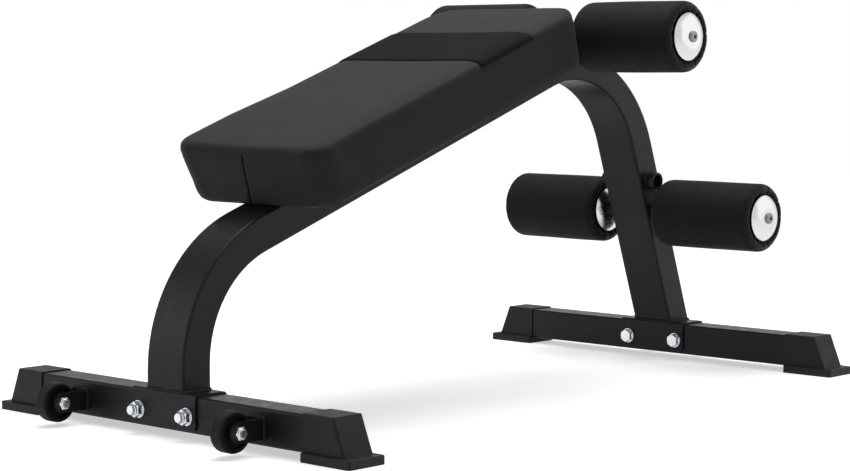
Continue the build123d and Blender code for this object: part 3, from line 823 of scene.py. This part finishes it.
emboss(tree, shader, weave, 0.15 * mm)

band_thickness = 1.5 * mm
band_end_height = seam_height + 6 * mm
band_points, band_rays = 113, 240
ray_height, ray_reach = 20 * mm, 400 * mm
edge_dip, edge_reach = 1.35, 0.4 * mm


def across_the_top(x):
    """Evenly spaced points on the cushion from one end of the band over the top to the other."""
    centre = Vector((x, 0, ray_height))
    lowest = math.atan2(band_end_height - centre.z, pad_width / 2)
    hits = []
    for k in range(band_rays + 1):
        angle = lowest + (math.pi - 2 * lowest) * k / band_rays
        outward = Vector((0, math.cos(angle), math.sin(angle)))
        hits.append(on_cushion(centre + outward * ray_reach, -outward)[0])
    return respaced(hits, count=band_points)


edge_rows = [0.0, 0.3 * mm, 1.0 * mm, 2.2 * mm]
band_rows = edge_rows + [band_length * k / 40 for k in range(2, 39)]
band_rows += [band_length - row for row in reversed(edge_rows)]
strip = bmesh.new()
grid = []
for row in band_rows:
    from_edge = min(row, band_length - row)
    raised = band_thickness * (1 - edge_dip * math.exp(-from_edge / edge_reach))
    points = []
    for point in across_the_top(band_near + row):
        normal = cushion_skin.find_nearest(point)[1]
        points.append(strip.verts.new(point + normal * raised))
    grid.append(points)
for first, second in zip(grid, grid[1:]):
    for k in range(band_points - 1):
        strip.faces.new((first[k], first[k + 1], second[k + 1], second[k]))
band = add_piece("band", finished(strip, "band"), woven)
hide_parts("pad_band")


# Hem and staples: the cover is turned under the board all round and stapled to it, with a wavy raw
# edge. It can be seen only from below. Its profile is given as insets from the pad's outline and
# heights above the board's underside, in millimetres.
hem_profile = [(9.5, 2.0), (11.5, 0.2), (14, -0.6), (18, -0.9), (28, -0.9), (39.6, -0.8), (40, 0.0)]
hem_points = 320
hem_corner = 6 * mm
edge_wave, wave_inset = 1.5 * mm, 20 * mm
hem = bmesh.new()
hem_rings = []
for inset, height in np.array(hem_profile) * mm:
    corner = max(hem_corner, pad_corner - inset)
    outline = rounded_frame(pad_length - 2 * inset, pad_width - 2 * inset, corner)
    places = []
    for k, point in enumerate(respaced(outline, count=hem_points, closed=True)):
        wave = edge_wave * math.sin(k * 0.31) * math.sin(k * 0.117) * (inset > wave_inset)
        inward = Vector((-point.x, -point.y, 0)).normalized()
        places.append(hem.verts.new(pad_frame @ (point + inward * wave + Vector((0, 0, height)))))
    hem_rings.append(places)
for first, second in zip(hem_rings, hem_rings[1:]):
    for k in range(hem_points):
        n = (k + 1) % hem_points
        hem.faces.new((first[k], first[n], second[n], second[k]))
cover_hem = add_piece("cover_hem", finished(hem, "cover_hem"), leatherette)

staples = bmesh.new()
staple_inset, staple_step, staple_radius = 30 * mm, 42 * mm, 0.5 * mm
staple_shape = ((-5, 1.5), (-5, -1.3), (5, -1.3), (5, 1.5))
rail_clearance = 10 * mm
staple_line = rounded_frame(
    pad_length - 2 * staple_inset, pad_width - 2 * staple_inset, pad_corner - staple_inset
)
staple_spots = respaced(staple_line, staple_step, closed=True)
for k, spot in enumerate(staple_spots):
    if abs(spot.y) < tube_width / 2 + rail_clearance:
        continue
    along = (staple_spots[(k + 1) % len(staple_spots)] - staple_spots[k - 1]).normalized()
    crown = []
    for reach, height in staple_shape:
        crown.append(pad_frame @ (spot + along * reach * mm + Vector((0, 0, height * mm))))
    sweep(staples, crown, [staple_radius] * len(crown), 6)
add_piece("staples", finished(staples, "staples"), zinc)


# Studio: a white floor and backdrop, one large soft box overhead and weak fill from the sides. The
# camera stands low in front of the wheel end, as a product photographer's would.
floor_reach = 30.0
floor_corners = [(sx * floor_reach, sy * floor_reach, 0) for sx, sy in ((-1, -1), (1, -1), (1, 1), (-1, 1))]
floor_mesh = bpy.data.meshes.new("floor")
floor_mesh.from_pydata(floor_corners, [], [(0, 1, 2, 3)])
floor = bpy.data.objects.new("floor", floor_mesh)
bpy.context.scene.collection.objects.link(floor)
white_floor, tree, shader = new_finish("white_floor", (0.85, 0.85, 0.85), 0.9, specular=0.0)
shader.inputs["Emission Color"].default_value = (1, 1, 1, 1)
# The camera and reflections see the floor glow, more so away from the bench.
rays = tree.nodes.new("ShaderNodeLightPath")
seen = worked_out(tree, "MAXIMUM", rays.outputs["Is Camera Ray"], rays.outputs["Is Glossy Ray"])
from_bench = tree.nodes.new("ShaderNodeVectorMath")
from_bench.operation = "LENGTH"
tree.links.new(own_place(tree), from_bench.inputs[0])
glow = graded(tree, from_bench.outputs["Value"], 0.52, 0.88, 1.0, 4.0)
tree.links.new(worked_out(tree, "MULTIPLY", seen, glow), shader.inputs["Emission Strength"])
floor_mesh.materials.append(white_floor)

world = bpy.data.worlds.new("studio")
bpy.context.scene.world = world
world.use_nodes = True
tree = world.node_tree
backdrop = tree.nodes["Background"]
# The camera sees a white backdrop. Reflections see one that is dimmer overhead.
ambient_strength = 0.15
dim_direction = (0.0, 0.35, 0.9)
rays = tree.nodes.new("ShaderNodeLightPath")
direction = tree.nodes.new("ShaderNodeTexCoord")
overhead = tree.nodes.new("ShaderNodeVectorMath")
overhead.operation = "DOT_PRODUCT"
tree.links.new(direction.outputs["Generated"], overhead.inputs[0])
overhead.inputs[1].default_value = dim_direction
mirrored = tree.nodes.new("ShaderNodeMix")
tree.links.new(rays.outputs["Is Glossy Ray"], mirrored.inputs[0])
mirrored.inputs[2].default_value = ambient_strength
tree.links.new(graded(tree, overhead.outputs["Value"], 1.0, 0.38, 0.42, 0.72), mirrored.inputs[3])
level = worked_out(tree, "MAXIMUM", mirrored.outputs[0], rays.outputs["Is Camera Ray"])
backdrop.inputs["Color"].default_value = (1, 1, 1, 1)
tree.links.new(level, backdrop.inputs["Strength"])


def soft_box(name, place, aim, size, power):
    """Rectangular area lamp that faces a point."""
    lamp = bpy.data.lights.new(name, "AREA")
    lamp.shape = "RECTANGLE"
    lamp.size, lamp.size_y = size
    lamp.energy = power
    box = bpy.data.objects.new(name, lamp)
    box.location = place
    box.rotation_mode = "QUATERNION"
    box.rotation_quaternion = (Vector(aim) - Vector(place)).to_track_quat("-Z", "Y")
    bpy.context.scene.collection.objects.link(box)


soft_box("overhead", (0.2, 0.2, 2.6), (0, 0, 0.2), (2.4, 1.8), 68)
soft_box("right_fill", (2.2, -2.0, 1.25), (0.5, 0, 0.35), (3.4, 2.4), 13)
soft_box("left_fill", (-2.2, 1.9, 1.1), (-0.4, 0, 0.35), (1.6, 1.6), 10)

sensor_width = 36.0
lens_to_width = 2208 / 850
camera_turn, camera_rise = math.radians(-47.11), math.radians(4.64)
camera_place = Vector((-2.456, -2.256, 0.510))
backward = Vector((
    math.sin(camera_turn) * math.cos(camera_rise),
    -math.cos(camera_turn) * math.cos(camera_rise),
    math.sin(camera_rise),
))
camera_data = bpy.data.cameras.new("camera")
camera_data.sensor_width = sensor_width
camera_data.lens = sensor_width * lens_to_width
camera = bpy.data.objects.new("camera", camera_data)
camera.location = camera_place
camera.rotation_mode = "QUATERNION"
camera.rotation_quaternion = (-backward).to_track_quat("-Z", "Y")
bpy.context.scene.collection.objects.link(camera)
bpy.context.scene.camera = camera
bpy.context.scene.view_settings.view_transform = "Standard"
